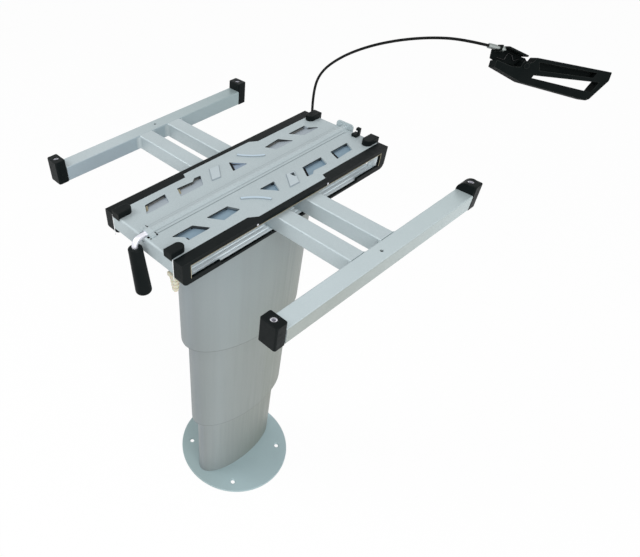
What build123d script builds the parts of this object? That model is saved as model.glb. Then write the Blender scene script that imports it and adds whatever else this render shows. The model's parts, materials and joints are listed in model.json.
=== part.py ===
from build123d import *
import math
import os

os.makedirs("parts", exist_ok=True)

# Single pole camper table. An oval telescopic column on a round floor plate carries a slotted carriage.
# A tube frame for the table top slides both ways through the carriage, and a lever clamps it.
# A cable with a pull handle releases the gas spring in the column.
# Millimetres. Origin: centre of the floor plate on the floor. X along the arms, Y along the carriage, Z up.

# Gaps between pieces
fit_gap = 0.1
running_gap = 0.05
slide_gap = 0.3

# Floor plate
plate_radius = 117.0
plate_thickness = 4.0
plate_edge = 1.2
floor_hole_count = 4
floor_hole_radius = 4.5
floor_hole_circle = 95.0
floor_hole_turn = 45.0
countersink_radius = 6.0
countersink_depth = 1.5

# Column: half widths of the base oval, and what each stage adds to them
oval_x = 38.0
oval_y = 98.0
stage_step = 12.0
tube_wall = 3.0
base_length = 310.0
middle_rim = 203.0
middle_length = 278.0
top_rim = 435.0
top_length = 216.5
glide_height = 25.0
glide_lip = 2.0
wiper_height = 15.0

# Gas spring in two stages, and the lever that opens its valve
spring_rod_radius = 5.0
spring_rod_length = 235.0
spring_stage_radius = 11.0
spring_stage_low = 200.0
spring_stage_length = 230.0
spring_cylinder_radius = 17.0
spring_hang = 36.5
spring_cylinder_length = 225.0
spring_cap = 8.0
spring_foot_radius = 15.0
spring_foot_height = 12.0
eye_width = 14.0
eye_height = 22.0
eye_pin_height = 8.0
eye_pin_radius = 4.0
valve_radius = 2.5
valve_depth = 5.0
valve_stand = 4.0
rocker_reach = 25.0
rocker_width = 10.0
rocker_height = 6.0
rocker_tail = 16.0
rocker_pin_radius = 2.5
bracket_sheet = 3.0
bracket_inside = 19.0

# Column head under the carriage
head_thickness = 5.0
head_half_x = 60.0
head_half_y = 138.0
head_corner = 13.0
head_bolt_x = 50.0
head_bolt_y = 124.0
head_bolt_radius = 4.0
head_bolt_head = 13.0
head_bolt_head_height = 5.0

# Carriage
carriage_offset = 10.0
carriage_length = 385.0
carriage_width = 156.0
rail_thickness = 16.0
rail_end = 14.0
sheet = 2.0
strip_thickness = 1.5
strip_inner = 50.0
strip_groove = 0.7
strip_bands = 7
strip_end = 1.5
lip_under_plate = 4.5
lip_waist = 8.0
waist_start = 60.0
waist_slope = 12.0
waist_end = 66.0
waist_end_slope = 3.5
lower_lip = 4.0
lower_lip_rise = 4.0
lower_lip_step = 131.0
rail_corner = 9.0
rivet_radius = 1.4
rivet_height = 0.6
rivet_spots = (-70.0, 62.0)
plate_bend = 3.0
bead_wall = 2.0
band_half = 10.0
band_height = 0.6

# Pressed openings of the top plate, right half; the left half is turned half round
windows = (
    ((27, -167), (27, -133), (46, -119), (46, -155), (38, -155)),
    ((27, -110), (27, -74), (43, -66), (46, -97)),
    ((28, -17), (28, 11), (49, 0)),
    ((31, 64), (31, 103), (49, 95), (47, 69), (52, 62), (51, 51)),
    ((31, 123), (31, 160), (48, 150), (50, 115)),
)
pad_window = ((31, 38), (32, 45.5), (43, 38.5))
pressed_pad = ((28, 34), (30, 49), (54, 33), (53, 15))
pressed_ridge = ((27, -50), (37, -36), (55, -22))
press_height = 1.4
press_slope = 0.6
ridge_width = 4.0
window_corner = 1.0
pan_depth = 3.6
pan_lap = 1.2
pan_floor = 1.0
pan_mouth = 2.4
tongue_lift = 1.6
window_slit = 1.0
flange_height = 22.0
tray_setback = 20.0
post_width = 5.5

# Corner bumpers
bumper_x = 53.0
bumper_width = 14.5
bumper_length = 23.0
bumper_height = 8.0
bumper_wrap = 1.0
bumper_drop = 2.5
bumper_round = 1.2

# Tube frame under the table top
tube_width = 25.0
tube_height = 22.5
frame_wall = 2.0
tube_corner = 2.0
frame_width = 457.0
frame_length = 380.0
frame_shift_x = -8.0
frame_shift_y = 3.0
arm_spacing = 56.0
arm_gap = 0.5
cap_thickness = 16.5
cap_height = 35.0
cap_plug = 14.0
cap_round = 2.5
cap_shoulder = 12.0
insert_radius = 4.0
insert_hole_radius = 2.5
insert_length = 14.0
bar_hole_radius = 2.2
weld_size = 6.0

# Cross slide inside the carriage
slide_rib = 11.0
slide_cover = 3.0
cover_gap = 9.0
cover_reach = 22.0
shoe_half_width = 6.0
shoe_thickness = 1.7

# Clamp lever
shaft_radius = 3.0
shaft_lift = 0.5
cam_offset = 0.2
cam_half_length = 140.0
shaft_overhang = 4.0
lever_radius = 4.0
lever_reach = 11.5
lever_bend = 9.5
lever_drop = 40.0
lever_lean = 7.0
grip_start = 9.7
grip_length = 70.0
grip_top_radius = 9.3
grip_low_radius = 11.2
grip_round = 5.0
saddle_half = 13.0
saddle_set = 7.0
saddle_depth = 15.0
saddle_sheet = 1.5
saddle_corner = 3.0
rear_bracket_half = 15.0
rear_bracket_height = 28.0
bush_radius = 5.0
bush_proud = 1.0
bush_length = 8.5
notch_half = 6.0

# Small pieces on the carriage
clip_x = 27.0
clip_width = 9.0
clip_length = 10.0
clip_height = 12.0
guide_radius = 6.5
guide_taper = 0.35
guide_ring = 3.2
guide_rings = 8
guide_groove = 1.2
guide_start = 6.0
guide_inset = 1.0

# Cable and release handle, laid out in a plane that leans back from the rear left corner
cable_corner_x = -68.0
cable_corner_y = 212.0
cable_heading = 53.5
cable_lean = 20.0
cable_diameter = 4.0
cable_route = (
    (-2.3, -2), (-2.5, 28), (7.5, 56), (38, 75), (80, 87), (127, 92.5), (176, 92.5), (222, 87), (263, 76),
)
arc_share = 0.45
gland_radius = 4.0
gland_length = 10.0
gland_foot = 8.0
ferrule_radius = 3.6
ferrule_length = 12.0
adjuster_radius = 2.6
adjuster_length = 16.0
nut_radius = 4.0
nut_length = 4.0
handle_depth = 18.0
handle_outline = (
    (273.5, 45.5), (320, 20.5), (428.5, -12.4), (434, -11), (458.5, 14), (460, 26),
    (337.5, 54.5), (333, 48.5), (313, 43), (300, 45), (275, 55.5),
)
handle_opening = ((335, 26.3), (337.5, 30), (444, 12.8), (434.5, -1))
handle_pocket = ((345, 36), (342, 48), (437, 26.5), (432.5, 20))
handle_pocket_depth = 12.0
handle_round = 1.5
pivot_spot = (322.0, 44.0)
pivot_radius = 3.0
pivot_head_radius = 4.0
pivot_head = 2.0
flange_start = (290.5, 71)
flange_end = (323, 56.2)
holder_outline = (
    (274.5, 57.5), (275, 69), (279, 75.5), flange_start, flange_end,
    (330, 54), (335, 47), (328, 34), (312, 34), (292, 48),
)
holder_sheet = 2.5
holder_flange = 21.0
holder_hole_radius = 2.2
holder_holes = (0.25, 0.75)
tab_along = 20.0
tab_height = 10.0
spring_wire = 0.9
spring_route = ((284, 58), (296, 54), (300, 63), (307, 60), (311, 51), (319, 54))
spring_bend = 2.0


def save(name, shape):
    """Writes one node."""
    export_step(shape, f"parts/{name}.step")


def block(low, high):
    """A box between two corners."""
    centre = [(a + b) / 2 for a, b in zip(low, high)]
    size = [b - a for a, b in zip(low, high)]
    return Pos(*centre) * Box(*size)


def rod(start, end, radius):
    """A round bar between two points."""
    axis = Vector(*end) - Vector(*start)
    return extrude(Plane(origin=start, z_dir=axis) * Circle(radius), axis.length)


def prism(points, low, high):
    """A straight-sided outline raised between two heights."""
    face = make_face(Polyline(*points, close=True))
    return extrude(Pos(0, 0, low) * face, high - low)


def turned(shape):
    """The same shape turned half round the upright axis."""
    return Rot(0, 0, 180) * shape


def oval_ring(outer, inner, low, high):
    """A tube of oval section."""
    ring = Ellipse(*outer) - Ellipse(*inner)
    return extrude(Pos(0, 0, low) * ring, high - low)


def grown(half_widths, extra):
    """Half widths of an oval, larger all round."""
    return tuple(half + extra for half in half_widths)


# Column levels and ovals
stage_outer = [grown((oval_x, oval_y), stage_step * stage) for stage in range(3)]
stage_inner = [grown(outer, -tube_wall) for outer in stage_outer]
base_top = plate_thickness + base_length
middle_top = middle_rim + middle_length
top_top = top_rim + top_length


def floor_plate():
    disc = extrude(Circle(plate_radius), plate_thickness)
    rim = disc.edges().group_by(Axis.Z)[-1]
    disc = fillet(rim, plate_edge)
    for spot in PolarLocations(floor_hole_circle, floor_hole_count, start_angle=floor_hole_turn):
        x, y = spot.position.X, spot.position.Y
        disc -= rod((x, y, 0), (x, y, plate_thickness), floor_hole_radius)
        sink = Cone(floor_hole_radius, countersink_radius, countersink_depth)
        disc -= Pos(x, y, plate_thickness - countersink_depth / 2) * sink
    return disc


def glide(stage):
    """Nylon ring capped over a tube's upper end, running in the next tube."""
    top = base_top if stage == 0 else middle_top
    outer = grown(stage_inner[stage + 1], -slide_gap)
    ring = oval_ring(outer, grown(stage_outer[stage], fit_gap), top - glide_height, top)
    return ring + oval_ring(outer, stage_inner[stage], top, top + glide_lip)


def wiper(stage):
    """Nylon ring in a tube's lower end, running on the tube inside it."""
    low = middle_rim if stage == 1 else top_rim
    outer = grown(stage_inner[stage], -fit_gap)
    return oval_ring(outer, grown(stage_outer[stage - 1], slide_gap), low, low + wiper_height)


save("base_plate", floor_plate())
save("base_tube", oval_ring(stage_outer[0], stage_inner[0], plate_thickness, base_top))
save("base_glide", glide(0))
save("middle_tube", oval_ring(stage_outer[1], stage_inner[1], middle_rim, middle_top))
save("middle_wiper", wiper(1))
save("middle_glide", glide(1))
save("top_tube", oval_ring(stage_outer[2], stage_inner[2], top_rim, top_top))
save("top_wiper", wiper(2))

# Gas spring
foot_top = plate_thickness + spring_foot_height
rod_top = plate_thickness + spring_rod_length
stage_high = spring_stage_low + spring_stage_length
cylinder_top = top_top - spring_hang
cylinder_low = cylinder_top - spring_cylinder_length
eye_top = cylinder_top + eye_height
pin_level = cylinder_top + eye_pin_height
valve_top = eye_top + valve_stand
rocker_low = valve_top + slide_gap
rocker_level = rocker_low + rocker_height / 2


def upright_tube(outer, inner, low, high):
    return rod((0, 0, low), (0, 0, high), outer) - rod((0, 0, low), (0, 0, high), inner)


def spring_cylinder():
    body = rod((0, 0, cylinder_low), (0, 0, cylinder_top), spring_cylinder_radius)
    bore = spring_stage_radius + slide_gap
    body -= rod((0, 0, cylinder_low), (0, 0, cylinder_top - spring_cap), bore)
    half = eye_width / 2
    body += block((-half, -half, cylinder_top), (half, half, eye_top))
    body -= rod((-half, 0, pin_level), (half, 0, pin_level), eye_pin_radius + fit_gap)
    valve_bore = valve_radius + running_gap
    return body - rod((0, 0, pin_level + eye_pin_radius), (0, 0, eye_top), valve_bore)


def spring_stage():
    tube = upright_tube(spring_stage_radius, spring_rod_radius + slide_gap, spring_stage_low, stage_high)
    return tube + rod((0, 0, stage_high), (0, 0, stage_high + spring_cap), spring_stage_radius)


def spring_bracket():
    """Channel that hangs from the column head and holds the gas spring and the rocker."""
    side = bracket_inside + bracket_sheet
    depth = spring_cylinder_radius
    far = rocker_reach + rocker_height
    channel = block((-side, -depth, cylinder_top), (side, far, top_top))
    channel -= block((-bracket_inside, -depth, cylinder_top), (bracket_inside, far, top_top - bracket_sheet))
    channel -= rod((-side, 0, pin_level), (side, 0, pin_level), eye_pin_radius + fit_gap)
    pin = rocker_pin_radius + fit_gap
    return channel - rod((-side, rocker_reach, rocker_level), (side, rocker_reach, rocker_level), pin)


def release_rocker():
    """Arm over the valve with a tail that the cable pulls."""
    half = rocker_width / 2
    tip = valve_radius + rocker_height / 2
    arm = block((-half, -tip, rocker_low), (half, rocker_reach, rocker_low + rocker_height))
    boss = rod((-half, rocker_reach, rocker_level), (half, rocker_reach, rocker_level), rocker_height / 2)
    tail = block((-half, rocker_reach - rocker_height / 2, rocker_level - rocker_tail),
                 (half, rocker_reach + rocker_height / 2, rocker_level))
    bore = rod((-half, rocker_reach, rocker_level), (half, rocker_reach, rocker_level),
               rocker_pin_radius + running_gap)
    return arm + boss + tail - bore


def foot_ring():
    return upright_tube(spring_foot_radius, spring_rod_radius + fit_gap, plate_thickness, foot_top)


bracket_side = bracket_inside + bracket_sheet
save("spring_foot", foot_ring())
save("spring_rod", rod((0, 0, plate_thickness), (0, 0, rod_top), spring_rod_radius))
save("spring_stage", spring_stage())
save("spring_cylinder", spring_cylinder())
save("spring_bracket", spring_bracket())
save("spring_pin", rod((-bracket_side, 0, pin_level), (bracket_side, 0, pin_level), eye_pin_radius))
save("rocker_pin", rod((-bracket_side, rocker_reach, rocker_level),
                       (bracket_side, rocker_reach, rocker_level), rocker_pin_radius))
save("release_rocker", release_rocker())
save("valve_pin", rod((0, 0, eye_top - valve_depth), (0, 0, valve_top), valve_radius))

# Carriage levels, upwards from the column head
head_top = top_top + head_thickness
tray_floor = head_top + sheet
strip_top = tray_floor + strip_thickness
arm_low = strip_top + arm_gap
arm_high = arm_low + tube_height
slot_high = arm_high + arm_gap
plate_low = slot_high + lip_under_plate
carriage_top = plate_low + sheet
shaft_level = plate_low + shaft_lift
half_length = carriage_length / 2
half_width = carriage_width / 2
rail_inner = half_width - rail_thickness
waist_inner = half_width - lip_waist
slot_half = half_length - rail_end
flange_low = carriage_top - flange_height
pan_bottom = plate_low - pan_depth
bush_start = saddle_set - bush_proud
carriage = Pos(0, carriage_offset, 0)


def column_head():
    plate = block((-head_half_x, -head_half_y, top_top), (head_half_x, head_half_y, head_top))
    corners = plate.edges().filter_by(Axis.Z)
    plate = fillet(corners, head_corner)
    for x, y in head_bolt_spots():
        plate -= rod((x, y, top_top), (x, y, head_top), head_bolt_radius + fit_gap)
    return plate


def head_bolt_spots():
    return [(x, y) for x in (-head_bolt_x, head_bolt_x) for y in (-head_bolt_y, head_bolt_y)]


def head_bolts():
    bolts = []
    for x, y in head_bolt_spots():
        head = Pos(x, y, top_top - head_bolt_head_height) * RegularPolygon(head_bolt_head / 2, 6)
        bolt = extrude(head, head_bolt_head_height)
        bolts.append(bolt + rod((x, y, top_top), (x, y, tray_floor), head_bolt_radius))
    return Compound(bolts)


def carriage_tray():
    """Folded sheet: a floor set back from the ends, and two side walls with a long window for the arms."""
    outer = block((-rail_inner, -half_length, head_top), (rail_inner, half_length, plate_low))
    inner = rail_inner - sheet
    tray = outer - block((-inner, -half_length, tray_floor), (inner, half_length, plate_low))
    tray -= block((-rail_inner, -slot_half, tray_floor), (rail_inner, slot_half, slot_high))
    floor_end = half_length - tray_setback
    post_end = slot_half + post_width
    for near, far in ((-half_length, -floor_end), (floor_end, half_length)):
        tray -= block((-inner, near, head_top), (inner, far, flange_low))
    for near, far in ((-half_length, -post_end), (post_end, half_length)):
        tray -= block((-rail_inner, near, head_top), (rail_inner, far, flange_low))
    for x, y in head_bolt_spots():
        y = y - carriage_offset
        tray -= rod((x, y, head_top), (x, y, tray_floor), head_bolt_radius + fit_gap)
    return carriage * tray


def plate_edge_points(inset):
    """Outline of the top plate, which widens between the rails' narrow waists."""
    wide = waist_inner - inset
    narrow = rail_inner - inset
    right = [(narrow, -half_length), (narrow, -waist_start - waist_slope), (wide, -waist_start),
             (wide, waist_end), (narrow, waist_end + waist_end_slope), (narrow, half_length)]
    return right + [(-x, -y) for x, y in right]


def rail_bezel():
    """Black frame round the right slot: two lips, two end blocks and a floor web."""
    rail = block((rail_inner, -half_length, head_top), (half_width, half_length, carriage_top))
    rail = fillet(rail.edges().filter_by(Axis.X).group_by(Axis.Z)[0], rail_corner)
    rail -= block((rail_inner, -slot_half, strip_top), (half_width, slot_half, slot_high))
    rail -= block((rail_inner, -slot_half, tray_floor), (half_width - lower_lip, slot_half, slot_high))
    rail -= prism(plate_edge_points(-fit_gap), plate_low, carriage_top)
    step = strip_top + lower_lip_rise
    for low, high in ((-slot_half, -lower_lip_step), (lower_lip_step, slot_half)):
        rail += block((half_width - lower_lip, low, strip_top), (half_width, high, step))
    return rail


def guide_strip():
    """Grooved aluminium strip on the carriage floor, along the right slot, turned up at both ends."""
    outer = half_width - lower_lip - fit_gap
    end = slot_half - fit_gap
    strip = block((strip_inner, -end, tray_floor), (outer, end, strip_top))
    width = (outer - strip_inner) / strip_bands
    for groove in range(1, strip_bands, 2):
        left = strip_inner + groove * width
        strip -= block((left, -end, strip_top - strip_groove), (left + width, end, strip_top))
    for near, far in ((-end, strip_end - end), (end - strip_end, end)):
        strip += block((rail_inner, near, tray_floor), (outer, far, slot_high - fit_gap))
    return strip


def bezel_rivets():
    level = (slot_high + carriage_top) / 2
    heads = []
    for y in rivet_spots:
        head = rod((half_width, y, level), (half_width + rivet_height, y, level), rivet_radius)
        heads += [carriage * head, carriage * turned(head)]
    return Compound(heads)


def window_cut(points):
    cut = prism(points, plate_low, carriage_top + press_height)
    return fillet(cut.edges().filter_by(Axis.Z), window_corner)


def shifted(points, x, y):
    return [(a + x, b + y) for a, b in points]


def window_block(points):
    """Solid under an opening, a little wider than it."""
    outline = offset(make_face(Polyline(*points, close=True)), pan_lap, kind=Kind.INTERSECTION)
    return extrude(Pos(0, 0, pan_bottom) * outline, pan_depth)


def window_shear(points, side):
    """Slit and missing wall along an opening's -X sides, and along its -Y sides if side is 1."""
    outer = prism(shifted(points, -pan_mouth, -pan_mouth * side), pan_bottom, plate_low)
    outer += prism(points, pan_bottom, plate_low)
    return outer - prism(shifted(points, window_slit, window_slit * side), pan_bottom, plate_low)


def window_floor(points):
    """Level floor under an opening."""
    hollow = prism(points, pan_bottom + pan_floor, plate_low)
    return window_block(points) - hollow - window_shear(points, 1)


def window_tongue(points):
    """Sloping floor under an opening, sheared off at -X and bent up to the plate at +X."""
    low_x = min(x for x, y in points)
    high_x = max(x for x, y in points)
    low_y = min(y for x, y in points)
    high_y = max(y for x, y in points)
    rise = plate_low + tongue_lift
    slope = make_face(Polyline(
        (low_x, pan_bottom + pan_floor), (high_x, rise),
        (high_x, carriage_top), (low_x, carriage_top), close=True,
    ))
    side = Plane(origin=(0, high_y, 0), x_dir=(1, 0, 0), z_dir=(0, -1, 0))
    above = extrude(side * slope, high_y - low_y) & prism(points, pan_bottom, carriage_top)
    tongue = window_block(points) + prism(points, plate_low, rise)
    return tongue - above - window_shear(points, 0)


def pressed_forms():
    """Shallow raised pad and ridge of the right half."""
    pad = prism(pressed_pad, carriage_top, carriage_top + press_height)
    pad = chamfer(pad.edges().group_by(Axis.Z)[-1], press_height * press_slope)
    ridge_line = ThreePointArc(*pressed_ridge)
    section = Plane(origin=ridge_line @ 0, z_dir=ridge_line % 0) * Rectangle(ridge_width, 2 * press_height)
    ridge = Pos(0, 0, carriage_top) * sweep(section, ridge_line)
    return pad, ridge


def top_plate():
    """Pressed cover with turned-down ends, openings and a bead over the clamp shaft."""
    flange = rail_inner - sheet - fit_gap
    plate = prism(plate_edge_points(0), plate_low, carriage_top)
    for end in (-1, 1):
        near, far = sorted((end * (half_length - sheet), end * half_length))
        plate += block((-flange, near, flange_low), (flange, far, plate_low))
    top_edges = plate.edges().filter_by(Axis.X).group_by(Axis.Z)[-1]
    top_ends = [edge for edge in top_edges if abs(edge.center().Y) > slot_half]
    plate = fillet(top_ends, plate_bend)
    for form in pressed_forms():
        plate += form
        plate += turned(form)
    for points in windows:
        cut = window_cut(points)
        plate = plate - cut - turned(cut)
        plate += window_floor(points)
        plate += window_tongue([(-x, -y) for x, y in points])
    plate -= window_cut(pad_window)
    plate += window_floor(pad_window)
    band_start = saddle_depth - half_length
    plate += block((-band_half, band_start, carriage_top),
                   (band_half, half_length - plate_bend, carriage_top + band_height))
    bore = shaft_radius + arm_gap
    start = (0, -half_length, shaft_level)
    stop = (0, half_length, shaft_level)
    bead = rod(start, stop, bore + bead_wall)
    plate += bead - block((-half_width, -half_length, tray_floor), (half_width, half_length, plate_low))
    plate -= rod(start, stop, bore)
    notch_low = shaft_level - notch_half
    plate -= block((-notch_half, -half_length, notch_low),
                   (notch_half, band_start, carriage_top + bumper_height))
    return carriage * plate


def bumper(x):
    """Corner pad at the rear end: round inside, with a small lip over the end."""
    half = bumper_width / 2
    inner = half_length - bumper_length
    outer = half_length + bumper_wrap
    top = carriage_top + bumper_height
    pad = block((-half, inner + half, carriage_top), (half, outer, top))
    pad += rod((0, inner + half, carriage_top), (0, inner + half, top), half)
    pad += block((-half, half_length, carriage_top - bumper_drop), (half, outer, carriage_top))
    pad = fillet(pad.edges().group_by(Axis.Z)[-1], bumper_round)
    return Pos(x, 0, 0) * pad


save("column_head", column_head())
save("head_bolts", head_bolts())
save("carriage_tray", carriage_tray())
save("top_plate", top_plate())
save("right_bezel", carriage * rail_bezel())
save("left_bezel", carriage * turned(rail_bezel()))
save("right_guide_strip", carriage * guide_strip())
save("left_guide_strip", carriage * turned(guide_strip()))
save("bumper_rear_right", carriage * bumper(bumper_x))
save("bumper_rear_left", carriage * bumper(-bumper_x))
save("bumper_front_right", carriage * turned(bumper(-bumper_x)))
save("bumper_front_left", carriage * turned(bumper(bumper_x)))
save("bezel_rivets", bezel_rivets())

# Tube frame
frame_place = Pos(frame_shift_x, carriage_offset + frame_shift_y, 0)
tube_level = arm_low + tube_height / 2
bar_x = (frame_width - tube_width) / 2
bar_inner = frame_width / 2 - tube_width
bar_end = frame_length / 2 - cap_thickness
arm_y = arm_spacing / 2
cap_top = arm_low + cap_height
cap_y = frame_length / 2 - cap_thickness / 2


def tube_section(plane):
    """Hollow square section with rounded corners."""
    inner_corner = tube_corner / 2
    outline = RectangleRounded(tube_width, tube_height, tube_corner)
    hollow = RectangleRounded(tube_width - 2 * frame_wall, tube_height - 2 * frame_wall, inner_corner)
    return plane * (outline - hollow)


def arm(y):
    plane = Plane(origin=(-bar_inner, y, tube_level), x_dir=(0, 1, 0), z_dir=(1, 0, 0))
    return frame_place * extrude(tube_section(plane), 2 * bar_inner)


def crossbar(x):
    plane = Plane(origin=(x, -bar_end, tube_level), x_dir=(1, 0, 0), z_dir=(0, 1, 0))
    bar = extrude(tube_section(plane), 2 * bar_end)
    return frame_place * (bar - rod((x, 0, tube_level), (x, 0, arm_high), bar_hole_radius))


def end_cap(rounded):
    """Cap on a bar's end, as wide as the tube and raised above it, with a plug and a screw socket."""
    half = tube_width / 2
    cap = block((-half, bar_end, arm_low), (half, frame_length / 2, cap_top))
    cap = fillet(cap.edges().filter_by(Axis.Z), cap_round)
    cap = fillet(cap.edges().group_by(Axis.Z)[-1], cap_round / 2)
    if rounded:
        centre = (cap_shoulder - half, cap_top - cap_shoulder)
        cap -= block((-half, bar_end, centre[1]), (centre[0], frame_length / 2, cap_top))
        cap += rod((centre[0], bar_end, centre[1]), (centre[0], frame_length / 2, centre[1]), cap_shoulder)
    plug = half - frame_wall - fit_gap
    lift = frame_wall + fit_gap
    cap += block((-plug + tube_corner, bar_end - cap_plug, arm_low + lift + tube_corner),
                 (plug - tube_corner, bar_end, arm_high - lift - tube_corner))
    return cap - rod((0, cap_y, cap_top - insert_length), (0, cap_y, cap_top), insert_radius + fit_gap)


def cap_insert(x, y):
    low = (x, y, cap_top - insert_length)
    high = (x, y, cap_top - cap_round / 2)
    return frame_place * (rod(low, high, insert_radius) - rod(low, high, insert_hole_radius))


def weld(x, y, turn):
    """Hollow fillet of weld in the corner between an arm and a bar."""
    corner = Rectangle(weld_size, weld_size, align=Align.MIN) - Pos(weld_size, weld_size) * Circle(weld_size)
    column = extrude(Pos(0, 0, arm_low + tube_corner) * corner, tube_height - 2 * tube_corner)
    return frame_place * Pos(x, y, 0) * Rot(0, 0, turn) * column


def frame_welds():
    half = tube_width / 2
    beads = []
    for y in (-arm_y, arm_y):
        beads += [weld(-bar_inner, y + half, 0), weld(bar_inner, y + half, 90)]
        beads += [weld(bar_inner, y - half, 180), weld(-bar_inner, y - half, 270)]
    return Compound(beads)


save("near_arm", arm(-arm_y))
save("far_arm", arm(arm_y))
save("left_crossbar", crossbar(-bar_x))
save("right_crossbar", crossbar(bar_x))
for end, turn in (("far", 0), ("near", 180)):
    for side, x in (("left", -bar_x), ("right", bar_x)):
        cap = end_cap(rounded=(side, end) == ("right", "far"))
        save(f"cap_{side}_{end}", frame_place * Pos(x, 0, 0) * Rot(0, 0, turn) * cap)
save("cap_inserts", Compound([cap_insert(x, y) for x in (-bar_x, bar_x) for y in (-cap_y, cap_y)]))
save("frame_welds", frame_welds())

# Cross slide between the arms and the carriage
slide_place = Pos(0, carriage_offset + frame_shift_y, 0)
slide_half_x = strip_inner - slide_gap
arm_outer = arm_y + tube_width / 2 + slide_gap
slide_half_y = arm_outer + slide_rib
rib_top = arm_high + slide_gap


def slide_block():
    """Nylon tray with two channels that the arms run in."""
    low = tray_floor + slide_gap
    body = block((-slide_half_x, -slide_half_y, low), (slide_half_x, slide_half_y, rib_top))
    for y in (-arm_y, arm_y):
        half = tube_width / 2 + slide_gap
        body -= block((-slide_half_x, y - half, arm_low - slide_gap), (slide_half_x, y + half, rib_top))
    return slide_place * body


def slide_plate(left, right, thickness):
    return slide_place * block((left, -slide_half_y, rib_top), (right, slide_half_y, rib_top + thickness))


save("slide_block", slide_block())
save("right_slide_cover", slide_plate(cover_gap, cover_reach, slide_cover))
save("left_slide_cover", slide_plate(-cover_reach, -cover_gap, slide_cover))
save("clamp_shoe", slide_plate(-shoe_half_width, shoe_half_width, shoe_thickness))

# Clamp lever
lean = math.radians(lever_lean)
lever_down = Vector(math.sin(lean), 0, -math.cos(lean))
lever_corner = Vector(0, -half_length - lever_reach, shaft_level)


def clamp_shaft():
    """Long shaft with an eccentric middle, and a thicker end that bends down into the grip."""
    rear = (0, half_length + sheet + shaft_overhang, shaft_level)
    front = (0, bush_start - half_length - fit_gap, shaft_level)
    path = FilletPolyline(front, lever_corner, lever_corner + lever_down * lever_drop, radius=lever_bend)
    shaft = sweep(Plane(origin=path @ 0, z_dir=path % 0) * Circle(lever_radius), path)
    shaft += rod(front, rear, shaft_radius)
    cam_level = shaft_level - cam_offset
    cam = rod((0, -cam_half_length, cam_level), (0, cam_half_length, cam_level), shaft_radius)
    return carriage * (shaft + cam)


def lever_grip():
    cone = Cone(grip_top_radius, grip_low_radius, grip_length, align=(Align.CENTER, Align.CENTER, Align.MIN))
    cone = fillet(cone.edges().group_by(Axis.Z)[-1], grip_round)
    cone = fillet(cone.edges().group_by(Axis.Z)[0], grip_round / 3)
    depth = lever_drop - grip_start + fit_gap
    cone -= rod((0, 0, 0), (0, 0, depth), lever_radius + fit_gap)
    start = lever_corner + lever_down * grip_start
    return carriage * Plane(origin=start, z_dir=lever_down).location * cone


def front_bracket():
    """Riveted saddle on the plate's front end, with a round bridge over the shaft's bush."""
    front = saddle_set - half_length
    back = saddle_depth - half_length
    top = carriage_top + saddle_sheet
    saddle = block((-saddle_half, front, carriage_top), (saddle_half, back, top))
    saddle = fillet(saddle.edges().filter_by(Axis.Z), saddle_corner)
    ends = (0, front, shaft_level), (0, back, shaft_level)
    bridge_radius = bush_radius + saddle_sheet
    bridge = rod(*ends, bridge_radius)
    bridge -= block((-saddle_half, front, flange_low), (saddle_half, back, carriage_top))
    rivet_x = (bridge_radius + saddle_half) / 2
    for side in (-1, 1):
        foot = Vector(side * rivet_x, (front + back) / 2, top)
        bridge += rod(foot, foot + Vector(0, 0, rivet_height), rivet_radius)
    return carriage * (saddle + bridge - rod(*ends, bush_radius + fit_gap))


def front_bush():
    start = (0, bush_start - half_length, shaft_level)
    stop = (0, bush_start + bush_length - half_length, shaft_level)
    return carriage * (rod(start, stop, bush_radius) - rod(start, stop, shaft_radius + running_gap))


def rear_bracket():
    face = half_length
    top = carriage_top + bumper_height
    low = top - rear_bracket_height
    plate = block((-rear_bracket_half, face, low), (rear_bracket_half, face + sheet, top))
    plate = fillet(plate.edges().filter_by(Axis.Y), bush_radius)
    bore = shaft_radius + running_gap
    return carriage * (plate - rod((0, face, shaft_level), (0, face + sheet, shaft_level), bore))


def rear_clip():
    """Small black catch on the plate beside the rear bracket."""
    back = half_length - plate_bend
    low = (clip_x - clip_width / 2, back - clip_length, carriage_top)
    foot = block(low, (clip_x + clip_width / 2, back, carriage_top + clip_height / 3))
    post_left = clip_x + clip_width / 6
    foot += block((post_left, back - clip_length / 2, carriage_top),
                  (clip_x + clip_width / 2, back, carriage_top + clip_height))
    foot += block((clip_x - clip_width / 6, back - clip_length / 2, carriage_top + clip_height * 2 / 3),
                  (clip_x + clip_width / 2, back, carriage_top + clip_height))
    return carriage * foot


def nylon_guide():
    """Ribbed, tapered buffer that hangs from the tray's front right post."""
    front = guide_inset - half_length
    back = -slot_half - fit_gap
    wall = rail_inner - sheet
    x = wall - guide_radius
    y = front + guide_radius
    body = block((x - guide_radius, front, head_top), (wall, back, flange_low - guide_start))
    for ring in range(guide_rings):
        radius = guide_radius - ring * guide_taper - ring % 2 * guide_groove
        high = head_top - ring * guide_ring
        body += rod((x, y, high - guide_ring), (x, y, high), radius)
    return carriage * body


save("clamp_shaft", clamp_shaft())
save("lever_grip", lever_grip())
save("front_bracket", front_bracket())
save("front_bush", front_bush())
save("rear_bracket", rear_bracket())
save("rear_clip", rear_clip())
save("nylon_guide", nylon_guide())

# Cable and release handle
heading = math.radians(cable_heading)
leaning = math.radians(cable_lean)
along = Vector(math.cos(heading), math.sin(heading), 0)
sideways = Vector(-math.sin(heading), math.cos(heading), 0)
upward = sideways * math.sin(leaning) + Vector(0, 0, math.cos(leaning))
cable_corner = (cable_corner_x, cable_corner_y, carriage_top)
handle_plane = Plane(origin=cable_corner, x_dir=along, z_dir=along.cross(upward))
handle_place = handle_plane.location
half_depth = handle_depth / 2
holder_front = -half_depth - slide_gap


def flat(point, height=0.0):
    """A point of the handle's plane as a vector in that plane."""
    return Vector(point[0], point[1], height)


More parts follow.
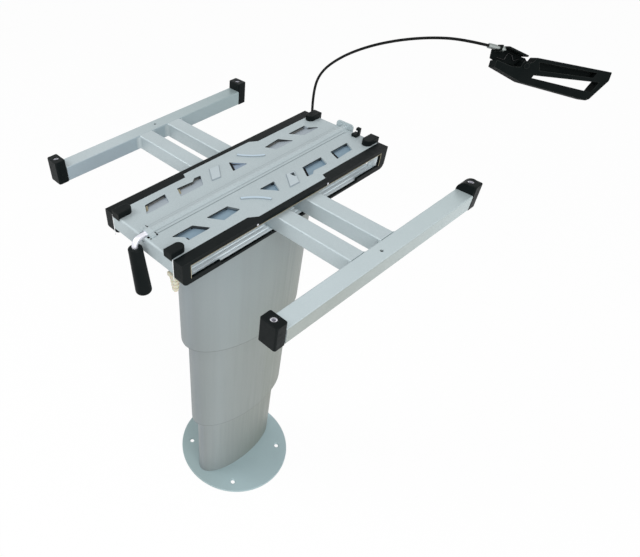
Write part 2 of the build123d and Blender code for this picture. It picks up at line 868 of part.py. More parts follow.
def corner_radii(points):
    """The largest tangent arc that each corner of the route allows."""
    radii = []
    for before, here, after in zip(points, points[1:], points[2:]):
        run_in = here - before
        run_out = after - here
        half_turn = math.radians(run_in.get_angle(run_out)) / 2
        radii.append(arc_share * min(run_in.length, run_out.length) / math.tan(half_turn))
    return radii


def release_cable():
    points = [flat(point) for point in cable_route]
    radii = corner_radii(points)
    path = FilletPolyline(*points, radius=radii)
    tube = sweep(Plane(origin=path @ 0, z_dir=path % 0) * Circle(cable_diameter / 2), path)
    section = math.pi * cable_diameter ** 2 / 4
    print("cable length", round(path.length, 1), "radii", [round(r, 1) for r in radii])
    print("cable volume over section times length", round(tube.volume / (section * path.length), 4))
    return handle_place * tube


cable_start = flat(cable_route[0])
cable_exit = (flat(cable_route[1]) - cable_start).normalized()
cable_end = flat(cable_route[-1])
cable_aim = (cable_end - flat(cable_route[-2])).normalized()
adjuster_start = cable_end + cable_aim * ferrule_length
tab_spot = cable_end + cable_aim * tab_along
aim_angle = math.degrees(math.atan2(cable_aim.Y, cable_aim.X))


def cable_gland():
    """Sleeve on the rear end of the carriage that the cable comes out of."""
    bottom = cable_start - cable_exit * gland_length
    sleeve = handle_place * rod(bottom, cable_start, gland_radius)
    foot = handle_plane.from_local_coords((bottom + cable_start) * 0.5)
    face = carriage_offset + half_length
    low = (foot.X - gland_radius, face, foot.Z - gland_foot / 2)
    return sleeve + block(low, (foot.X + gland_radius, foot.Y, foot.Z + gland_foot / 2))


def cable_adjuster():
    """Threaded barrel through the holder's tab, with a lock nut."""
    barrel = rod(adjuster_start, adjuster_start + cable_aim * adjuster_length, adjuster_radius)
    nut_start = tab_spot + cable_aim * (holder_sheet / 2)
    return handle_place * (barrel + rod(nut_start, nut_start + cable_aim * nut_length, nut_radius))


def handle_holder():
    """Sheet bracket that screws under the table top and carries the lever and the cable end."""
    back = holder_front - holder_sheet
    holder = prism(holder_outline, back, holder_front)
    holder -= rod(flat(pivot_spot, back), flat(pivot_spot, holder_front), pivot_radius + fit_gap)
    run = flat(flange_end) - flat(flange_start)
    middle = (flat(flange_start) + flat(flange_end)) * 0.5
    turn = math.degrees(math.atan2(run.Y, run.X))
    flange = block((-run.length / 2, 0, back), (run.length / 2, holder_sheet, back + holder_flange))
    for share in holder_holes:
        spot = (share - 0.5) * run.length
        level = back + holder_flange / 2
        flange -= rod((spot, 0, level), (spot, holder_sheet, level), holder_hole_radius)
    holder += Pos(middle.X, middle.Y, 0) * Rot(0, 0, turn) * flange
    half_tab = tab_height / 2
    tab = block((-holder_sheet / 2, -half_tab, holder_front), (holder_sheet / 2, half_tab, half_tab))
    tab -= rod((-holder_sheet / 2, 0, 0), (holder_sheet / 2, 0, 0), adjuster_radius + fit_gap)
    return handle_place * (holder + Pos(tab_spot.X, tab_spot.Y, 0) * Rot(0, 0, aim_angle) * tab)


def pull_lever():
    """Moulded loop handle with a finger opening and a hollow upper bar."""
    lever = prism(handle_outline, -half_depth, half_depth)
    lever = fillet(lever.edges().filter_by(Axis.Z), handle_round)
    lever -= prism(handle_opening, -half_depth, half_depth)
    lever -= prism(handle_pocket, half_depth - handle_pocket_depth, half_depth)
    ends = flat(pivot_spot, -half_depth), flat(pivot_spot, half_depth)
    lever += rod(*ends, pivot_radius + pivot_head_radius)
    return handle_place * (lever - rod(*ends, pivot_radius + running_gap))


def handle_pin():
    back = holder_front - holder_sheet
    front = half_depth + slide_gap
    pin = rod(flat(pivot_spot, back), flat(pivot_spot, front), pivot_radius)
    pin += rod(flat(pivot_spot, front), flat(pivot_spot, front + pivot_head), pivot_head_radius)
    return handle_place * pin


def handle_spring():
    points = [flat(point, holder_front + spring_wire) for point in spring_route]
    path = FilletPolyline(*points, radius=spring_bend)
    return handle_place * sweep(Plane(origin=path @ 0, z_dir=path % 0) * Circle(spring_wire), path)


save("release_cable", release_cable())
save("cable_gland", cable_gland())
save("cable_ferrule", handle_place * rod(cable_end, adjuster_start, ferrule_radius))
save("cable_adjuster", cable_adjuster())
save("handle_holder", handle_holder())
save("pull_lever", pull_lever())
save("handle_pin", handle_pin())
save("handle_spring", handle_spring())
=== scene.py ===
import json
import math

import bpy
from mathutils import Matrix, Vector


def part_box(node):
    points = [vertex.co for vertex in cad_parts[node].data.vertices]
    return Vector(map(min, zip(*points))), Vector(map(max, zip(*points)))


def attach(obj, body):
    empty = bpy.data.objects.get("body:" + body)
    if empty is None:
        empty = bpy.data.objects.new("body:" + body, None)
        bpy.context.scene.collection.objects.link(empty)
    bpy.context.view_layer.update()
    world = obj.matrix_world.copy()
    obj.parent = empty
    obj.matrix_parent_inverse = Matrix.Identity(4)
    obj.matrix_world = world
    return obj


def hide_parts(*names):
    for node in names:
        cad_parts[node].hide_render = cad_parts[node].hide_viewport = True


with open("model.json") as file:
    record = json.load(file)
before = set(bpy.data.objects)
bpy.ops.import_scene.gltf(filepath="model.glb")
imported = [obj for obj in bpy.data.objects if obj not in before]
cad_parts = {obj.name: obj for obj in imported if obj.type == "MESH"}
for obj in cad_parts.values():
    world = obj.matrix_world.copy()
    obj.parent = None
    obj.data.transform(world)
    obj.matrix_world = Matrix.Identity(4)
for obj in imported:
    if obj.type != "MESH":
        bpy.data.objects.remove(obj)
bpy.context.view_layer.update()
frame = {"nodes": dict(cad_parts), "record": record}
nodes = frame["nodes"]

# Metres in the part's frame: X along the arms, Y along the carriage, Z up
MM = 0.001
SIDES = (-1, 1)

# Camera: the side it stands on, its height angle and its roll in degrees, and its distance from the target
CAMERA_AZIMUTH = 53.545
CAMERA_ELEVATION = 46.598
CAMERA_ROLL = 4.0744
CAMERA_DISTANCE = 0.81841
CAMERA_TARGET = Vector((0.0, -0.13846, 0.50859))
CAMERA_NEAREST = 0.01
IMAGE_WIDTH = 640
IMAGE_HEIGHT = 557
FOCAL_PIXELS = 546.70
OPTICAL_CENTRE = (176, 320)
SENSOR_WIDTH = 36.0

# Lamps: place, aim, size and watts
LAMPS = {
    "key": ((-1.5, -1.5, 2.3), (0, 0, 0.6), 1.2, 26),
    "fill": ((1.8, -0.9, 1.9), (0, 0, 0.5), 1.8, 31),
    "slot_fill": ((1.9, -0.7, 1.1), (0.08, 0, 0.67), 1.0, 6),
}

# Surround and floor: the light they give, and the share of white that the eye sees in them
SURROUND_STRENGTH = 0.58
SURROUND_SEEN = 1.0
STAGE_SIZE = 12
STAGE_GREY = 0.9
STAGE_ROUGHNESS = 0.9
STAGE_SEEN = 0.95

# The release cable, with its route in a leaning plane, from the carriage to the handle
CABLE_CORNER = Vector((-0.068, 0.212, 0.690))
CABLE_HEADING = math.radians(53.5)
CABLE_LEAN = math.radians(20.0)
CABLE_DIAMETER = 0.004
CABLE_ROUTE = (
    (-0.0023, -0.002), (-0.0025, 0.028), (0.0075, 0.056), (0.038, 0.075), (0.080, 0.087),
    (0.127, 0.0925), (0.176, 0.0925), (0.222, 0.087), (0.263, 0.076),
)

# Faces and levels of the carriage and the column, from the frame; the bezels' tops are level with the plate
bezel_low, bezel_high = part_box("right_bezel")
BEZEL_INNER, FRONT_FACE, BEZEL_LOW = bezel_low
BEZEL_FACE, REAR_FACE, PLATE_TOP = bezel_high
CARRIAGE_Y = (FRONT_FACE + REAR_FACE) / 2
PLATE_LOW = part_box("carriage_tray")[1].z
SADDLE_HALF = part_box("front_bracket")[1].x
SADDLE_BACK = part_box("front_bracket")[1].y
RIM_LEVELS = (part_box("top_tube")[0].z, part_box("middle_tube")[0].z)

# Pressed forms of the top plate: the openings' reach along it, left triangle, ridges, raised band and bead
WINDOW_REACH = 0.180
TRIANGLE_Y = CARRIAGE_Y + 0.003
TRIANGLE_HALF = 0.0155
RIDGE_OFFSET = 0.036
RIDGE_HALF = 0.016
BAND_HALF = 0.010
BAND_HEIGHT = 0.0006
BEAD_HALF = 0.0054
LINE_HALF = 0.3 * MM

# Widths over which shades of the plate fade, at a level and between its left and right halves
LEVEL_FADE = 0.1 * MM
HALF_FADE = 5 * MM

# Small bevel on the pieces that the scene adds
TRIM_BEVEL = 0.15 * MM

# Slots in the carriage's sides, measured in from its ends, top and lower edge, and their edging
SLOT_END = 0.014
SLOT_UPPER_LIP = 0.0065
SLOT_LOWER_LIP = 0.0075
LINER_PROUD = 0.25 * MM
LINER_WIDTH = 0.9 * MM

# Sheets under the rows of openings: painted shade for the dark inside seen through them
SHADE_LOW = PLATE_LOW - 0.0043
SHADE_HIGH = SHADE_LOW + 0.35 * MM
SHADE_INNER = 0.0235
SHADE_OUTER = 0.0585
SHADE_HALF = 0.172

# Strips on the openings' floors, one row each: left and right end of the front edge, width and height. The
# dark strips are painted shade in the gaps along the floors' front edges.
FLOOR_LEVEL = PLATE_LOW - 0.0026
FLOOR_GAP_SHADE = (
    ((0.0380, -0.1450), (0.0458, -0.1450), 0.0042, 0.0016),
    ((0.0312, 0.0739), (0.0508, 0.0612), 0.0058, 0.0016),
    ((0.0312, 0.1329), (0.0492, 0.1254), 0.0064, 0.0016),
    ((-0.0485, 0.0100), (-0.0284, -0.0004), 0.0036, 0.0043),
)
TONGUE_LIPS = (
    ((-0.0476, -0.1400), (-0.0370, -0.1462), 0.0036, 0.0028),
    ((-0.0486, -0.0850), (-0.0370, -0.0902), 0.0036, 0.0028),
)

# Painted shadow in the gap behind the saddle, and painted shade in the punched slots beside it: X, Y, width
# and depth
SHADOW_STRIP_LENGTH = 2.2 * MM
SHADOW_STRIP_HEIGHT = 0.2 * MM
SADDLE_SLOTS = ((0.0070, -0.1792, 0.0036, 0.0030), (0.0122, -0.1782, 0.0020, 0.0020))

# Painted highlights: bright edges at the carriage's ends
EDGE_PROUD = 0.3 * MM
EDGE_WIDTH = 1.4 * MM

# CAD nodes with softened edges
SOFT_NODES = ("left_bezel", "right_bezel", "pull_lever", "handle_holder", "rear_clip")
SOFT_WIDTH = 0.6 * MM
SOFT_ANGLE = math.radians(35)
WELD_REACH = 0.01 * MM

# CAD nodes that look a little different from the rest of their slot; the plate's and the crossbars' own
# finishes carry painted light and shade
OWN_FINISH = {
    "top_plate": "plate_paint", "left_crossbar": "left_bar_light_and_shade", "right_crossbar": "right_bar_light_and_shade",
    "pull_lever": "handle_black", "handle_holder": "handle_black", "handle_pin": "handle_black",
    "cable_ferrule": "dull_zinc", "cable_adjuster": "dull_zinc",
}

# Colours of the silver coat, of painted light and shade on places of the pressed plate, and of painted
# highlights on the black mouldings' edges
SILVER = (0.425, 0.498, 0.520)
SILVER_FLAKE = (0.59, 0.65, 0.67)
# Painted shade: blue-grey on the right row's floors, grey on the left row's tongues, near black on the
# walls facing +X, blue in the left triangle
FLOOR_SHADE_BLUE = (0.200, 0.300, 0.385)
TONGUE_SHADE_GREY = (0.290, 0.330, 0.390)
WALL_SHADE_DARK = (0.014, 0.015, 0.016)
TRIANGLE_SHADE_BLUE = (0.240, 0.310, 0.400)
# Painted light on the pressed forms' flat tops and the ridges' tops; painted shade on their slopes and
# along the band's and bead's lines
PAD_TOP_HIGHLIGHT = (0.60, 0.68, 0.74)
SLOPE_SHADE = (0.200, 0.245, 0.285)
RIDGE_TOP_HIGHLIGHT = (0.48, 0.60, 0.70)
LINE_SHADE = (0.190, 0.230, 0.245)
# Painted highlights along the edges of the black mouldings and of the handle
BLACK_EDGE_HIGHLIGHT = (0.034, 0.037, 0.033)
HANDLE_EDGE_HIGHLIGHT = (0.070, 0.076, 0.070)


def scaled(colour, factors):
    """A colour with each channel times its factor."""
    return tuple(channel * factor for channel, factor in zip(colour, factors))


def feed(tree, value, socket):
    """Links another node's output to a socket, or sets it to a plain value."""
    if isinstance(value, bpy.types.NodeSocket):
        tree.links.new(value, socket)
    else:
        socket.default_value = value


def calculate(tree, operation, *values):
    """The result of a Math node on outputs and numbers."""
    node = tree.nodes.new("ShaderNodeMath")
    node.operation = operation
    for value, socket in zip(values, node.inputs):
        feed(tree, value, socket)
    return node.outputs["Value"]


class Finish:
    """A Principled material whose textures lie in the part's own coordinates, in metres."""

    def __init__(self, name, colour, roughness, metallic=0.0):
        self.name = name
        self.colour = colour
        self.last_colour = None
        self.material = bpy.data.materials.new(name)
        self.material.use_nodes = True
        self.tree = self.material.node_tree
        self.shader = self.tree.nodes["Principled BSDF"]
        self.set("Base Color", (*colour, 1))
        self.set("Roughness", roughness)
        self.set("Metallic", metallic)
        self.place = self.tree.nodes.new("ShaderNodeTexCoord").outputs["Object"]

    def set(self, socket, value):
        self.shader.inputs[socket].default_value = value
        return self

    def noise(self, scale, detail, stretch=(1, 1, 1)):
        """Noise with about `scale` features to the metre, stretched along the axes."""
        mapping = self.tree.nodes.new("ShaderNodeMapping")
        mapping.inputs["Scale"].default_value = stretch
        self.tree.links.new(self.place, mapping.inputs["Vector"])
        noise = self.tree.nodes.new("ShaderNodeTexNoise")
        noise.inputs["Scale"].default_value = scale
        noise.inputs["Detail"].default_value = detail
        self.tree.links.new(mapping.outputs["Vector"], noise.inputs["Vector"])
        return noise.outputs["Fac"]

    def cells(self, scale):
        """Random grey of small cells."""
        voronoi = self.tree.nodes.new("ShaderNodeTexVoronoi")
        voronoi.inputs["Scale"].default_value = scale
        self.tree.links.new(self.place, voronoi.inputs["Vector"])
        split = self.tree.nodes.new("ShaderNodeSeparateColor")
        self.tree.links.new(voronoi.outputs["Color"], split.inputs["Color"])
        return split.outputs["Red"]

    def normal(self):
        """The direction that the surface faces."""
        return self.tree.nodes.new("ShaderNodeNewGeometry").outputs["Normal"]

    def axis(self, name, source=None):
        """One coordinate of the surface point, or of another vector."""
        split = self.tree.nodes.new("ShaderNodeSeparateXYZ")
        self.tree.links.new(source or self.place, split.inputs["Vector"])
        return split.outputs[name]

    def along(self, direction, source=None):
        """How far the surface point, or another vector, reaches in a direction."""
        reach = self.tree.nodes.new("ShaderNodeVectorMath")
        reach.operation = "DOT_PRODUCT"
        self.tree.links.new(source or self.place, reach.inputs[0])
        feed(self.tree, direction, reach.inputs[1])
        return reach.outputs["Value"]

    def spread(self, value, low, high, start=0.3, end=0.7):
        """Lays the values from start to end over low to high; the defaults suit a texture's usual span."""
        spread = self.tree.nodes.new("ShaderNodeMapRange")
        spread.inputs["From Min"].default_value = start
        spread.inputs["From Max"].default_value = end
        spread.inputs["To Min"].default_value = low
        spread.inputs["To Max"].default_value = high
        self.tree.links.new(value, spread.inputs["Value"])
        return spread.outputs["Result"]

    def rising(self, value, start, end):
        """0 up to the start, and 1 from the end."""
        return self.spread(value, 0, 1, start, end)

    def falling(self, value, start, end):
        """1 up to the start, and 0 from the end."""
        return self.spread(value, 1, 0, start, end)

    def distance(self, value, middle=0.0):
        """How far a coordinate is from a level."""
        return calculate(self.tree, "ABSOLUTE", calculate(self.tree, "SUBTRACT", value, middle))

    def near(self, value, middle, half, fade=MM):
        """1 within `half` of the middle, fading to 0."""
        return self.falling(self.distance(value, middle), half, half + fade)

    def edges(self, radius):
        """High within about `radius` of a sharp edge."""
        rounded = self.tree.nodes.new("ShaderNodeBevel")
        rounded.samples = 4
        rounded.inputs["Radius"].default_value = radius
        likeness = self.along(self.normal(), rounded.outputs["Normal"])
        return self.falling(likeness, 0.90, 0.995)

    def tint(self, value, colour, share, start=0.3, end=0.7):
        """Mixes up to a share of another colour in where the texture is high."""
        mix = self.tree.nodes.new("ShaderNodeMix")
        mix.data_type = "RGBA"
        feed(self.tree, self.last_colour or (*self.colour, 1), mix.inputs["A"])
        mix.inputs["B"].default_value = (*colour, 1)
        self.tree.links.new(self.spread(value, 0.0, share, start, end), mix.inputs["Factor"])
        self.last_colour = mix.outputs["Result"]
        self.tree.links.new(self.last_colour, self.shader.inputs["Base Color"])
        return self

    def tint_where(self, conditions, colour, share):
        """Mixes another colour in where all the conditions are 1."""
        mask = conditions[0]
        for condition in conditions[1:]:
            mask = calculate(self.tree, "MULTIPLY", mask, condition)
        return self.tint(mask, colour, share, start=0, end=1)

    def rough(self, value, low, high):
        """Varies the roughness with a texture."""
        self.tree.links.new(self.spread(value, low, high), self.shader.inputs["Roughness"])
        return self

    def bump(self, value, depth, strength):
        """Raises the surface by up to `depth` metres."""
        bump = self.tree.nodes.new("ShaderNodeBump")
        bump.inputs["Strength"].default_value = strength
        bump.inputs["Distance"].default_value = depth
        self.tree.links.new(value, bump.inputs["Height"])
        self.tree.links.new(bump.outputs["Normal"], self.shader.inputs["Normal"])
        return self


def powder_coat(name, colour, flake, roughness, metallic=0.0):
    """Sprayed metallic powder: fine flakes, slight cloudiness and orange peel."""
    finish = Finish(name, colour, roughness, metallic)
    finish.tint(finish.noise(scale=14, detail=3), scaled(colour, (0.86, 0.86, 0.86)), share=0.5)
    finish.tint(finish.cells(scale=2600), flake, share=0.30)
    finish.rough(finish.noise(scale=60, detail=3), roughness - 0.06, roughness + 0.08)
    finish.bump(finish.noise(scale=700, detail=2), depth=0.06 * MM, strength=0.6)
    return finish


def shade_openings(finish, inside, left, right):
    """Painted shade in the openings: blue-grey on the right row's floors, grey on the left row's tongues,
    near black on the walls facing +X, and blue in the left triangle.
    """
    height = finish.axis("Z")
    deep = finish.falling(height, PLATE_LOW - MM, PLATE_LOW)
    # Painted shade: blue-grey on the right row's floors
    finish.tint_where((inside, deep, right), FLOOR_SHADE_BLUE, share=0.88)
    sunk = finish.falling(height, PLATE_TOP - 2 * LEVEL_FADE, PLATE_TOP - LEVEL_FADE)
    # Painted shade: grey on the left row's tongues
    finish.tint_where((sunk, left, inside), TONGUE_SHADE_GREY, share=0.55)
    upright = finish.falling(finish.distance(finish.axis("Z", finish.normal())), 0.25, 0.45)
    facing = finish.rising(finish.axis("X", finish.normal()), 0.30, 0.50)
    under = finish.falling(height, PLATE_TOP, PLATE_TOP + LEVEL_FADE)
    # Painted shade: near black on the walls facing +X, below the plate's top
    finish.tint_where((upright, facing, inside, under), WALL_SHADE_DARK, share=0.95)
    triangle = finish.near(finish.axis("Y"), TRIANGLE_Y, TRIANGLE_HALF)
    # Painted shade: blue in the left triangle
    finish.tint_where((sunk, left, triangle), TRIANGLE_SHADE_BLUE, share=0.90)


def shade_pressings(finish, inside, left, right):
    """Painted light and shade on the plate's pressed forms: highlights on the pads' flat tops and the
    ridges' tops, shade on the slopes and in lines along its raised band and bead.
    """
    across = finish.distance(finish.axis("X"))
    raised = finish.rising(finish.axis("Z"), PLATE_TOP, PLATE_TOP + LEVEL_FADE)
    outside_band = finish.rising(across, 2 * BAND_HALF, 2 * BAND_HALF + MM)
    pressed = (raised, inside, outside_band)
    level = finish.distance(finish.axis("Z", finish.normal()))
    # Painted highlight on the flat tops, painted shade on the slopes
    finish.tint_where((*pressed, finish.rising(level, 0.90, 0.98)), PAD_TOP_HIGHLIGHT, share=0.25)
    finish.tint_where((*pressed, finish.falling(level, 0.75, 0.95)), SLOPE_SHADE, share=0.70)
    # Painted highlights on the ridges' tops
    for half, middle in ((right, CARRIAGE_Y - RIDGE_OFFSET), (left, CARRIAGE_Y + RIDGE_OFFSET)):
        ridge = finish.near(finish.axis("Y"), middle, RIDGE_HALF)
        top = finish.rising(level, 0.5, 0.9)
        finish.tint_where((*pressed, half, ridge, top), RIDGE_TOP_HIGHLIGHT, share=0.70)
    for line, share in ((BAND_HALF, 0.65), (BEAD_HALF, 0.45)):
        close = finish.near(across, line, LINE_HALF, fade=LINE_HALF)
        finish.tint_where((close, inside), LINE_SHADE, share)


def plate_coat(name, colour, flake):
    """The silver coat of the pressed plate, with painted light and shade in its openings and on its pressed
    forms.
    """
    finish = powder_coat(name, colour, flake, roughness=0.46, metallic=0.10)
    finish.set("Specular IOR Level", 0.35)
    inside = finish.near(finish.axis("Y"), CARRIAGE_Y, WINDOW_REACH)
    left = finish.falling(finish.axis("X"), -HALF_FADE, HALF_FADE)
    right = finish.rising(finish.axis("X"), -HALF_FADE, HALF_FADE)
    shade_openings(finish, inside, left, right)
    shade_pressings(finish, inside, left, right)
    return finish


def bar_coat(name, colour, flake, wall, rear):
    """The silver coat of a crossbar, with painted shade: its colour scaled on the wall towards +X and at
    the rear end.
    """
    finish = powder_coat(name, colour, flake, roughness=0.40, metallic=0.25)
    facing = finish.axis("X", finish.normal())
    finish.tint(facing, scaled(colour, wall), share=1.0, start=0.5, end=0.8)
    finish.tint(finish.axis("Y"), scaled(colour, rear), share=0.85, start=-0.08, end=0.16)
    return finish


def floor_coat(name):
    """The floor plate's grey coat, with painted shade that darkens it towards one side."""
    finish = powder_coat(name, (0.360, 0.475, 0.500), (0.42, 0.53, 0.55), roughness=0.5, metallic=0.1)
    side = finish.along((0.6, 0.8, 0.0))
    finish.tint(side, (0.285, 0.372, 0.380), share=0.9, start=0.0, end=-0.09)
    return finish


def column_coat(name):
    """Drawn column tube under a thin grey coat: painted light and shade by the side it faces, bluer towards
    the top, dark lines at the rims.
    """
    finish = Finish(name, (0.205, 0.238, 0.252), roughness=0.46, metallic=0.15)
    side = finish.along((0.8, 0.6, 0.0), finish.normal())
    warm_side_shade = (0.190, 0.213, 0.174)
    pale = (0.292, 0.346, 0.362)
    blue = (0.300, 0.385, 0.430)
    streak = (0.190, 0.212, 0.212)
    cloud = (0.275, 0.302, 0.306)
    flake = (0.36, 0.38, 0.38)
    rim = (0.060, 0.065, 0.068)
    # Painted light and shade: darker and warmer on the side facing +X and +Y, paler on faces turned partway
    # to it
    finish.tint(side, warm_side_shade, share=1.0, start=-0.3, end=1.0)
    finish.tint(finish.distance(side, 0.45), pale, share=0.60, start=0.5, end=0.0)
    finish.tint(finish.axis("Z"), blue, share=0.30, start=0.42, end=0.60)
    finish.tint(finish.noise(scale=60, detail=3, stretch=(1, 1, 0.02)), streak, share=0.30)
    finish.tint(finish.noise(scale=9, detail=2), cloud, share=0.25)
    finish.tint(finish.cells(scale=3200), flake, share=0.20)
    for level in RIM_LEVELS:
        finish.tint(finish.distance(finish.axis("Z"), level), rim, share=0.6, start=MM, end=0.6 * MM)
    finish.rough(finish.noise(scale=160, detail=2, stretch=(1, 1, 0.04)), 0.40, 0.54)
    finish.bump(finish.noise(scale=900, detail=2), depth=0.04 * MM, strength=0.5)
    return finish


def moulded(name, colour, grey, roughness, grain=1500, gloss=0.055, edge_highlight=None):
    """Moulded plastic with a fine spark grain and, where a highlight colour is given, painted highlights
    along its edges.
    """
    finish = Finish(name, colour, roughness).set("Specular IOR Level", gloss)
    if edge_highlight:
        finish.tint_where((finish.edges(radius=0.9 * MM),), edge_highlight, share=0.8)
    finish.tint(finish.noise(scale=35, detail=4), grey, share=0.8)
    finish.rough(finish.noise(scale=220, detail=3), roughness - 0.08, roughness + 0.10)
    finish.bump(finish.noise(grain, detail=3), depth=0.08 * MM, strength=0.7)
    return finish


def plated(name, colour, dull, roughness, metallic=1.0):
    """Plated or bare steel: a little cloudy, with fine scratches."""
    finish = Finish(name, colour, roughness, metallic)
    finish.tint(finish.noise(scale=90, detail=3), dull, share=0.6)
    finish.rough(finish.noise(scale=300, detail=3), roughness - 0.04, roughness + 0.08)
    finish.bump(finish.noise(scale=1800, detail=3), depth=0.01 * MM, strength=0.3)
    return finish


def drawn(name, colour, dark, roughness, stretch, metallic=1.0):
    """Metal with drawn lines along the axis in which its noise is stretched."""
    finish = Finish(name, colour, roughness, metallic)
    lines = finish.noise(scale=900, detail=3, stretch=stretch)
    finish.tint(lines, dark, share=0.8)
    finish.rough(lines, roughness - 0.06, roughness + 0.10)
    finish.bump(lines, depth=0.04 * MM, strength=0.6)
    return finish


def make_coats():
    """Painted finishes."""
    plate_silver = scaled(SILVER, (0.93, 0.93, 0.93))
    right_bar_lit_silver = scaled(SILVER, (1.10, 1.10, 1.10))
    dark = powder_coat("dark_paint", (0.006, 0.007, 0.007), (0.010, 0.011, 0.012), roughness=0.42)
    dark.set("Specular IOR Level", 0.28)
    return [
        dark,
        column_coat("column_grey"),
        floor_coat("floor_plate_grey"),
        plate_coat("plate_paint", plate_silver, SILVER_FLAKE),
        powder_coat("silver_paint", SILVER, SILVER_FLAKE, roughness=0.40, metallic=0.25),
        # Lit and shaded copies of one silver for the two crossbars: the right one brighter, each with
        # painted shade on its +X wall and towards its rear end
        bar_coat("left_bar_light_and_shade", SILVER, SILVER_FLAKE,
                 wall=(0.84, 0.87, 0.92), rear=(0.70, 0.76, 0.75)),
        bar_coat("right_bar_light_and_shade", right_bar_lit_silver, SILVER_FLAKE,
                 wall=(0.67, 0.64, 0.58), rear=(0.95, 0.95, 0.93)),
        # Painted shade for the sheets under the openings: blue-grey on the right, grey on the left
        powder_coat("right_shade", (0.175, 0.255, 0.325), (0.22, 0.30, 0.37), roughness=0.55),
        powder_coat("left_shade", (0.330, 0.335, 0.325), (0.40, 0.41, 0.40), roughness=0.55),
        # Painted highlight for the bright edges at the carriage's ends
        powder_coat("end_highlight", (0.80, 0.83, 0.84), (0.88, 0.90, 0.90), roughness=0.40),
    ]


def make_plastics():
    """Moulded finishes."""
    cream = moulded("cream_nylon", (0.60, 0.585, 0.475), (0.52, 0.50, 0.39), roughness=0.42)
    cream.set("Subsurface Weight", 0.15).set("Subsurface Scale", 2 * MM)
    return [
        cream,
        moulded("liner_nylon", (0.330, 0.305, 0.220), (0.270, 0.245, 0.170), roughness=0.45),
        moulded("dark_nylon", (0.004, 0.0045, 0.005), (0.007, 0.0075, 0.008), roughness=0.55),
        moulded("black_plastic", (0.0045, 0.0068, 0.0072), (0.008, 0.0105, 0.0108),
                roughness=0.38, edge_highlight=BLACK_EDGE_HIGHLIGHT),
        moulded("handle_black", (0.004, 0.006, 0.006), (0.007, 0.009, 0.009),
                roughness=0.62, gloss=0.03, edge_highlight=HANDLE_EDGE_HIGHLIGHT),
        moulded("cable_black", (0.0045, 0.0050, 0.0050), (0.008, 0.0085, 0.0085),
                roughness=0.36, grain=2600),
    ]


def make_metals():
    """Plated, bare and drawn finishes; the guide strips are near-white and not shaded as metal, painted
    light that keeps them bright in the slots' shade.
    """
    return [
        plated("zinc", (0.80, 0.80, 0.86), (0.72, 0.72, 0.78), roughness=0.34, metallic=0.7),
        plated("dull_zinc", (0.30, 0.33, 0.32), (0.16, 0.17, 0.17), roughness=0.40),
        plated("black_steel", (0.040, 0.041, 0.042), (0.022, 0.022, 0.023), roughness=0.42),
        plated("polished_steel", (0.78, 0.78, 0.79), (0.70, 0.70, 0.71), roughness=0.16),
        drawn("shoe_steel", (0.56, 0.57, 0.58), (0.44, 0.45, 0.46),
              roughness=0.36, stretch=(0.02, 1, 1)),
        # Painted light: near-white and not metallic, so that the strips stay bright in the slots' shade
        drawn("strip_aluminium", (0.88, 0.97, 1.00), (0.76, 0.85, 0.89),
              roughness=0.42, stretch=(1, 0.02, 1), metallic=0.0),
    ]


def paint(finishes):
    """Gives each CAD node its own finish, or that of its slot."""
    for part in frame["record"]["subparts"]:
        mesh = nodes[part["node"]].data
        mesh.materials.clear()
        name = OWN_FINISH.get(part["node"], part["material_slot"])
        mesh.materials.append(finishes[name].material)


def soften(node):
    """Rounds a CAD node's sharp edges a little, so that they catch the light."""
    piece = nodes[node]
    weld = piece.modifiers.new("weld", "WELD")
    weld.merge_threshold = WELD_REACH
    bevel = piece.modifiers.new("soft_edges", "BEVEL")
    bevel.width = SOFT_WIDTH
    bevel.segments = 2
    bevel.limit_method = "ANGLE"
    bevel.angle_limit = SOFT_ANGLE
    piece.modifiers.new("even_normals", "WEIGHTED_NORMAL")


def add_bars(name, bars, finish):
    """Flat bars as one piece on the carriage.

    Each bar has four corners (left front, left rear, right front, right rear) and two levels.
    """
    faces = ((0, 1, 3, 2), (4, 6, 7, 5), (0, 4, 5, 1), (2, 3, 7, 6), (0, 2, 6, 4), (1, 5, 7, 3))
    points = []
    polygons = []
    for corners, levels in bars:
        first = len(points)
        points += [(x, y, z) for x, y in corners for z in levels]
        polygons += [tuple(first + corner for corner in face) for face in faces]
    mesh = bpy.data.meshes.new(name)
    mesh.from_pydata(points, [], polygons)
    mesh.materials.append(finish.material)
    piece = bpy.data.objects.new(name, mesh)
    bpy.context.scene.collection.objects.link(piece)
    bevel = piece.modifiers.new("soft_edges", "BEVEL")
    bevel.width = TRIM_BEVEL
    bevel.segments = 2
    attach(piece, "carriage")


def add_boxes(name, boxes, finish):
    """Bars between opposite corners, square to the axes, as one piece."""
    bars = []
    for low, high in boxes:
        corners = [(x, y) for x in (low[0], high[0]) for y in (low[1], high[1])]
        bars.append((corners, (low[2], high[2])))
    add_bars(name, bars, finish)


def front_strips(strips):
    """Bars on the openings' floors, along front edges."""
    bars = []
    for left, right, width, height in strips:
        corners = []
        for x, y in (left, right):
            corners += [(x, y), (x, y + width)]
        bars.append((corners, (FLOOR_LEVEL, FLOOR_LEVEL + height)))
    return bars


def floor_gap_shade(finishes):
    """Dark strips along the front edges of four floors, painted shade where the gaps there look into the
    dark inside, and pale lips at two of the left row's tongues.
    """
    add_bars("floor_gap_shade", front_strips(FLOOR_GAP_SHADE), finishes["dark_nylon"])
    add_bars("tongue_lips", front_strips(TONGUE_LIPS), finishes["liner_nylon"])


